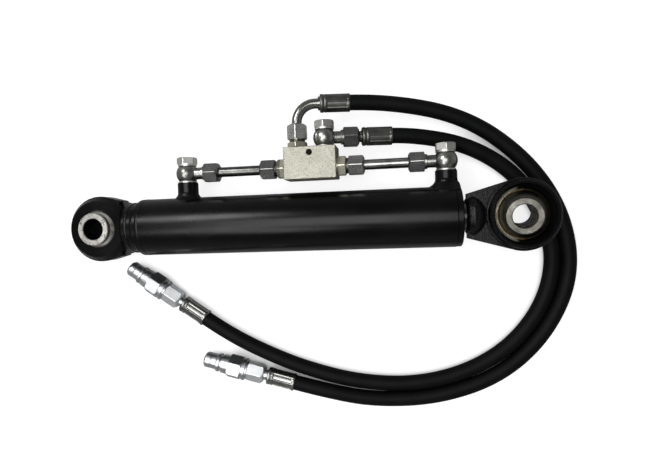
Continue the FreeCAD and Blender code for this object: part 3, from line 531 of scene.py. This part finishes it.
# ---- Balls ----
# Hardened steel balls, turned on a lathe, with a pin hole and a collar at either face. The base eye's
# ball is painted bright as painted light with its hole dark as painted shade; the rod eye's is painted dark
# as shade.
PIN_HOLE_RADIUS = 0.0130
# Near black painted shade for the inside of the base ball's pin hole.
PAINTED_BORE_SHADE = (0.004, 0.004, 0.003)


def turned_steel(name, light, dark, at, hole=0):
    """Steel with fine lathe rings round the ball's middle and clouds from light to dark, and painted
    shade, near black, inside the hole's radius."""
    material, tree, shader, where = start_finish(name, 1)
    cloud = mottle(tree, where, 90, detail=5)
    placed = tree.nodes.new("ShaderNodeMapping")
    placed.vector_type = "TEXTURE"
    placed.inputs["Location"].default_value = at
    tree.links.new(where, placed.inputs["Vector"])
    rings = tree.nodes.new("ShaderNodeTexWave")
    rings.wave_type = "RINGS"
    rings.rings_direction = "Z"
    rings.inputs["Scale"].default_value = 420
    rings.inputs["Distortion"].default_value = 0.6
    tree.links.new(placed.outputs["Vector"], rings.inputs["Vector"])
    colour = two_tone(tree, between(tree, cloud, 0.35, 0.7, 0, 1), light, dark)
    if hole:
        # Inside the hole's radius the colour goes near black, as painted shade.
        bore_shade = between(tree, away_from_pin(tree, where, at[0]), hole, hole + 0.0004, 1, 0)
        colour = two_tone(tree, bore_shade, colour, PAINTED_BORE_SHADE)
    paint_on(tree, shader, colour, between(tree, cloud, 0.3, 0.7, 0.2, 0.42))
    relief(tree, shader, rings.outputs["Fac"], 0.000025)
    return material


# Both balls are one steel: the rod ball's colours are painted shade and the base ball's painted light.
dress(turned_steel("rod_ball_steel_painted_shade", (0.17, 0.165, 0.145), (0.09, 0.087, 0.075),
                   at=(ROD_EYE_X, 0, 0)), "rod_ball")
dress(turned_steel("base_ball_steel_painted_light", (0.92, 0.90, 0.84), (0.50, 0.48, 0.44),
                   at=(0, 0, 0), hole=PIN_HOLE_RADIUS), "base_ball")


# ---- Piston rod and the pieces inside ----
# A ground rod with hard chrome, a steel piston and nut, rubber seals and nylon guide rings, and in
# the valve a pilot piston and two check poppets. Behind each check poppet and each plug's poppet is
# a wire spring.
# From the wiper's place at rest on, the chrome is painted dark blue grey as a painted dark reflection.
DARK_REFLECTION_START = 0.436
DARK_REFLECTION_RAMP = 0.003
PAINTED_DARK_REFLECTION = (0.10, 0.10, 0.115)


def chrome_with_painted_reflection():
    """Ground chrome, with a painted dark reflection from the wiper's place at rest to the rod's end."""
    material = plated("chrome_rod", (0.80, 0.80, 0.81), (0.70, 0.70, 0.71), 0.06, 0.16,
                      spots=2500, depth=0.000004)
    tree = material.node_tree
    shader = tree.nodes["Principled BSDF"]
    where = tree.nodes["Texture Coordinate"].outputs["Object"]
    dark_reflection = between(tree, along_axis(tree, where, "X"), DARK_REFLECTION_START, DARK_REFLECTION_START + DARK_REFLECTION_RAMP, 0, 1)
    chrome = shader.inputs["Base Color"].links[0].from_socket
    tree.links.new(two_tone(tree, dark_reflection, chrome, PAINTED_DARK_REFLECTION), shader.inputs["Base Color"])
    return material


MACHINED = plated("machined_steel", (0.60, 0.60, 0.59), (0.42, 0.42, 0.41), 0.22, 0.4)
dress(chrome_with_painted_reflection(), "piston_rod")
dress(MACHINED, "piston", "piston_nut", "pilot_piston", "check_seats", "base_check_poppet",
      "rod_check_poppet")
SPRING_WIRE = plated("spring_steel", (0.42, 0.42, 0.44), (0.20, 0.20, 0.21), 0.25, 0.4)


def squeezed_spring(name, joint):
    """A copy of the coil as designed, in spring steel, put on the barrel's body in place of its CAD node."""
    coil = nodes[name].data.copy()
    coil.transform(nodes[name].matrix_world)
    coil.materials.clear()
    coil.materials.append(SPRING_WIRE)
    piece = bpy.data.objects.new(name + "_coil", coil)
    bpy.context.collection.objects.link(piece)
    push = np.array(joint["axis"])
    points = np.array([corner.co for corner in coil.vertices])
    reach = points @ push
    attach(piece, "barrel")
    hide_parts(name)
    points[reach.argmax()].tolist()
    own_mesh(piece)


for joint in frame["joints"]:
    for deforming in joint.get("deforming_nodes", ()):
        squeezed_spring(deforming["node"], joint)


def moulded(name, dark, light, rough_low, rough_high):
    """A moulded seal or guide ring: colour clouded from dark to light and a slightly pitted skin."""
    material, tree, shader, where = start_finish(name, 0, sheen=0.4)
    skin = mottle(tree, where, 700)
    paint_on(tree, shader, two_tone(tree, skin, dark, light),
             between(tree, skin, 0.3, 0.7, rough_low, rough_high))
    relief(tree, shader, skin, 0.00003)
    return material


dress(moulded("seal_rubber", (0.010, 0.010, 0.011), (0.022, 0.022, 0.023), 0.35, 0.55), "gland_o_ring",
      "rod_seal", "rod_wiper", "piston_seal", "piston_o_ring")
dress(moulded("guide_plastic", (0.42, 0.37, 0.27), (0.52, 0.47, 0.36), 0.45, 0.6),
      "rod_guide_ring", "piston_guide_rings")


# ---- Pipes and fittings ----
# Cold drawn steel pipe, forged banjos, hexagon bolts and compression nuts, all zinc plated. Pale on
# the bolt heads and greys on the rest, with painted light and painted shade beyond given places:
# dull grey on the base pipe, bright on the rod pipe, and the nuts and adapters lighter or darker.
# Painted light and painted shade: each row multiplies the colour by a factor beyond a place along an axis.
PIPE_PAINTED_LIGHT = [("X", 0.27, 2.8)]
BOLT_PAINTED_SHADE = [("X", 0.20, 0.72)]
NUT_PAINTED_LIGHT_AND_SHADE = [("Y", 0.082, 0.46), ("X", 0.235, 6.0), ("X", 0.290, 0.25), ("X", 0.360, 0.7)]
ADAPTER_PAINTED_LIGHT = [("X", 0.235, 2.5)]


def drawn_pipe():
    """Zinc clouded by stains, with a gloss and a slight relief that run in long streaks along the
    pipe."""
    material, tree, shader, where = start_finish("pipe_zinc", 1)
    streaks = mottle(tree, where, 900, stretch=(0.03, 1, 1), detail=2)
    stain = mottle(tree, where, 70, detail=5)
    colour = two_tone(tree, between(tree, stain, 0.35, 0.7, 0, 1), (0.16, 0.16, 0.153),
                      (0.075, 0.075, 0.072))
    colour = painted_light_by_place(tree, where, colour, PIPE_PAINTED_LIGHT)
    paint_on(tree, shader, colour, between(tree, streaks, 0.3, 0.7, 0.16, 0.34))
    relief(tree, shader, streaks, 0.00002)
    return material


dress(drawn_pipe(), "base_pipe", "rod_pipe")
BANJO_ZINC = plated("banjo_zinc", (0.42, 0.42, 0.40), (0.18, 0.18, 0.17), 0.22, 0.38, clouds=110)
dress(BANJO_ZINC, "base_banjo", "rod_banjo", "valve_banjo")
ELBOW_ZINC = plated("elbow_zinc", (0.33, 0.33, 0.315), (0.19, 0.19, 0.18), 0.16, 0.26, clouds=40,
                    spots=1400, depth=0.000008)
dress(ELBOW_ZINC, "elbow_pipe", "inner_hose_stem")
BOLT_ZINC = plated("bolt_zinc", (0.88, 0.87, 0.835), (0.66, 0.65, 0.62), 0.32, 0.48,
                   steps=BOLT_PAINTED_SHADE)
dress(BOLT_ZINC, "banjo_bolts", "banjo_washers")
NUT_ZINC = plated("nut_zinc", (0.345, 0.35, 0.34), (0.21, 0.215, 0.21), 0.20, 0.32, clouds=70,
                  spots=1700, depth=0.000008, spangle_dark=0.8, steps=NUT_PAINTED_LIGHT_AND_SHADE)
dress(NUT_ZINC, "union_nuts", "cutting_rings")
ADAPTER_ZINC = plated("adapter_zinc", (0.34, 0.33, 0.27), (0.20, 0.195, 0.16), 0.28, 0.44,
                      steps=ADAPTER_PAINTED_LIGHT)
dress(ADAPTER_ZINC, "base_adapter", "rod_adapter", "elbow_adapter")


# ---- Threads beside the nuts ----
# Each compression nut stops short of the hexagon it is screwed towards, so a few turns of the
# fitting's thread stay in sight.
THREAD_ROOT = 0.00895
THREAD_DEPTH = 0.0006
THREAD_PITCH = 0.0013
THREAD_LENGTH = 0.0031
THREAD_BURIED = 0.0004
PIPE_AXIS = 0.0645
THREADS = [("base_adapter_thread", (0.2278, PIPE_AXIS, 0), (1, 0, 0)),
           ("rod_adapter_thread", (0.3162, PIPE_AXIS, 0), (-1, 0, 0)),
           ("elbow_adapter_thread", (0.2555, 0.0983, 0), (0, -1, 0))]
# The thread's zinc is darker than the other fittings', partly as painted shade in its grooves.
THREAD_ZINC_PAINTED_SHADE = plated("thread_zinc_painted_shade", (0.26, 0.255, 0.23), (0.05, 0.05, 0.045), 0.20, 0.32, clouds=400)


def thread_turns(along, angle):
    """What comes off the crest: a zigzag from nothing to the thread's depth and back once a pitch,
    which moves on by one pitch in each turn round the axis."""
    step = (along / THREAD_PITCH + angle / (2 * math.pi)) % 1
    return THREAD_DEPTH * np.abs(2 * step - 1) * (along > 0)


def thread_stretch(name, at, axis):
    """A short sleeve of thread on a fitting: a tube from below the root to the crest, which the
    thread's turns are cut into, from a point along an axis."""
    crest, below = THREAD_ROOT + THREAD_DEPTH, THREAD_ROOT - THREAD_BURIED
    along = np.linspace(0.00005, THREAD_LENGTH, 40)
    outline = [(0, below)] + [(step, crest) for step in along] + [(THREAD_LENGTH, below)]
    piece = turned_grid(name, outline, at, axis, around=72, press=thread_turns)
    piece.data.materials.append(THREAD_ZINC_PAINTED_SHADE)
    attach(piece, "barrel")


for name, at, axis in THREADS:
    thread_stretch(name, at, axis)


# ---- Valve block ----
# A milled steel block, zinc plated to a pale straw white with a fine speckle, drilled through once
# for its fixing screw.
def speckled_block():
    """Pale zinc: clouds between two straw greys, small dark pits close together, a satin surface."""
    material, tree, shader, where = start_finish("block_zinc", 0.7)
    cloud = between(tree, mottle(tree, where, 60, detail=5), 0.35, 0.65, 0, 1)
    pits = mottle(tree, where, 760, detail=2)
    colour = two_tone(tree, cloud, (0.355, 0.352, 0.295), (0.31, 0.307, 0.257))
    colour = two_tone(tree, between(tree, pits, 0.50, 0.64, 0, 0.7), colour, (0.19, 0.19, 0.155))
    paint_on(tree, shader, colour, between(tree, pits, 0.3, 0.7, 0.38, 0.56))
    relief(tree, shader, pits, 0.00004)
    return material


dress(speckled_block(), "valve_block")


# ---- Coupling plugs ----
# Turned and milled steel plugs under bright blue-white zinc. A swivel nut holds each hose stem to
# an adapter screwed into the plug, and a poppet closes the nose.
PLUG_ZINC = plated("plug_zinc", (0.64, 0.66, 0.67), (0.46, 0.475, 0.49), 0.27, 0.40, clouds=120,
                   spots=1600, spangle_dark=0.8)
dress(PLUG_ZINC, "inner_plug_body", "outer_plug_body", "inner_plug_stem", "outer_plug_stem",
      "plug_adapters", "plug_seals")
SWIVEL_ZINC = plated("swivel_zinc", (0.95, 0.96, 0.97), (0.80, 0.82, 0.84), 0.34, 0.46, clouds=120,
                     spots=1600, depth=0.000008, spangle_dark=0.9)
dress(SWIVEL_ZINC, "swivel_nuts")
POPPET_STEEL = plated("poppet_steel", (0.05, 0.05, 0.05), (0.02, 0.02, 0.02), 0.3, 0.45)
dress(POPPET_STEEL, "inner_poppet", "outer_poppet")


# ---- Surface and lights ----
# White paper under the whole thing, with a painted soft shadow in its glow close to the pieces. A wide
# soft panel overhead draws the band of light along the barrel, a fill lights the plugs' side and a
# small key lamp stands behind.
PAPER_REACH = 4.0
PAPER_WHITE = 0.80
PAINTED_SHADOW_REACH = 0.02
HORIZON, OVERHEAD = 0.40, 0.13
LAMPS = [
    ("panel", (0.05, 0.03, 1.70), (0.05, 0.00, 0.0), (1.2, 0.9), 16),
    ("fill", (-0.35, -0.72, 1.60), (0.15, -0.20, 0.0), (0.9, 0.5), 7),
    ("key", (-0.45, 0.75, 1.20), (0.30, 0.00, 0.0), (0.5, 0.4), 9)]


def sheet_of_paper():
    """A flat white sheet that falls as the surface does, far wider than the object. Seen straight, it
    glows evenly, and less where the sky above it is hidden within the shadow's reach: a painted shadow."""
    mesh = bpy.data.meshes.new("paper")
    corners = [(-PAPER_REACH, -PAPER_REACH), (PAPER_REACH, -PAPER_REACH), (PAPER_REACH, PAPER_REACH),
               (-PAPER_REACH, PAPER_REACH)]
    mesh.from_pydata([(x, y, surface(x)) for x, y in corners], [], [(0, 1, 2, 3)])
    paper = bpy.data.objects.new("paper", mesh)
    bpy.context.collection.objects.link(paper)
    material, tree, shader, where = start_finish("paper", 0, sheen=0.1)
    fibre = mottle(tree, where, 300)
    paint_on(tree, shader, two_tone(tree, fibre, (0.34, 0.34, 0.34), (0.37, 0.37, 0.37)),
             between(tree, fibre, 0.3, 0.7, 0.85, 0.95))
    shader.inputs["Emission Color"].default_value = (1, 1, 1, 1)
    straight = tree.nodes.new("ShaderNodeLightPath").outputs["Is Camera Ray"]
    open_sky = tree.nodes.new("ShaderNodeAmbientOcclusion")
    open_sky.inputs["Distance"].default_value = PAINTED_SHADOW_REACH
    # The glow is dimmed near the pieces by ambient occlusion, as a painted shadow.
    glow_with_painted_shadow = both(tree, straight, between(tree, open_sky.outputs["AO"], 0.15, 0.65, 0.10, PAPER_WHITE))
    tree.links.new(glow_with_painted_shadow, shader.inputs["Emission Strength"])
    mesh.materials.append(material)
    return paper


sheet_of_paper()

# The sky falls off from the horizon to overhead, and is plain white where it is seen straight.
world = bpy.data.worlds.new("studio")
world.use_nodes = True
sky = world.node_tree
towards = sky.nodes.new("ShaderNodeTexCoord").outputs["Generated"]
dim = between(sky, along_axis(sky, towards, "Z"), 0, 0.7, HORIZON, OVERHEAD)
seen = sky.nodes.new("ShaderNodeMath")
seen.operation = "MAXIMUM"
sky.links.new(dim, seen.inputs[0])
sky.links.new(sky.nodes.new("ShaderNodeLightPath").outputs["Is Camera Ray"], seen.inputs[1])
sky.links.new(seen.outputs[0], sky.nodes["Background"].inputs["Strength"])
sky.nodes["Background"].inputs["Color"].default_value = (1, 1, 1, 1)
bpy.context.scene.world = world
bpy.context.scene.view_settings.view_transform = "Standard"

for name, place, target, (wide, deep), power in LAMPS:
    lamp = bpy.data.lights.new(name, "AREA")
    lamp.shape = "RECTANGLE"
    lamp.size = wide
    lamp.size_y = deep
    lamp.energy = power
    holder = bpy.data.objects.new(name, lamp)
    bpy.context.collection.objects.link(holder)
    away = np.array(place) - np.array(target)
    flat_reach = math.hypot(away[0], away[1])
    holder.location = place
    holder.rotation_euler = (math.atan2(flat_reach, away[2]), 0, math.atan2(away[0], -away[1]))
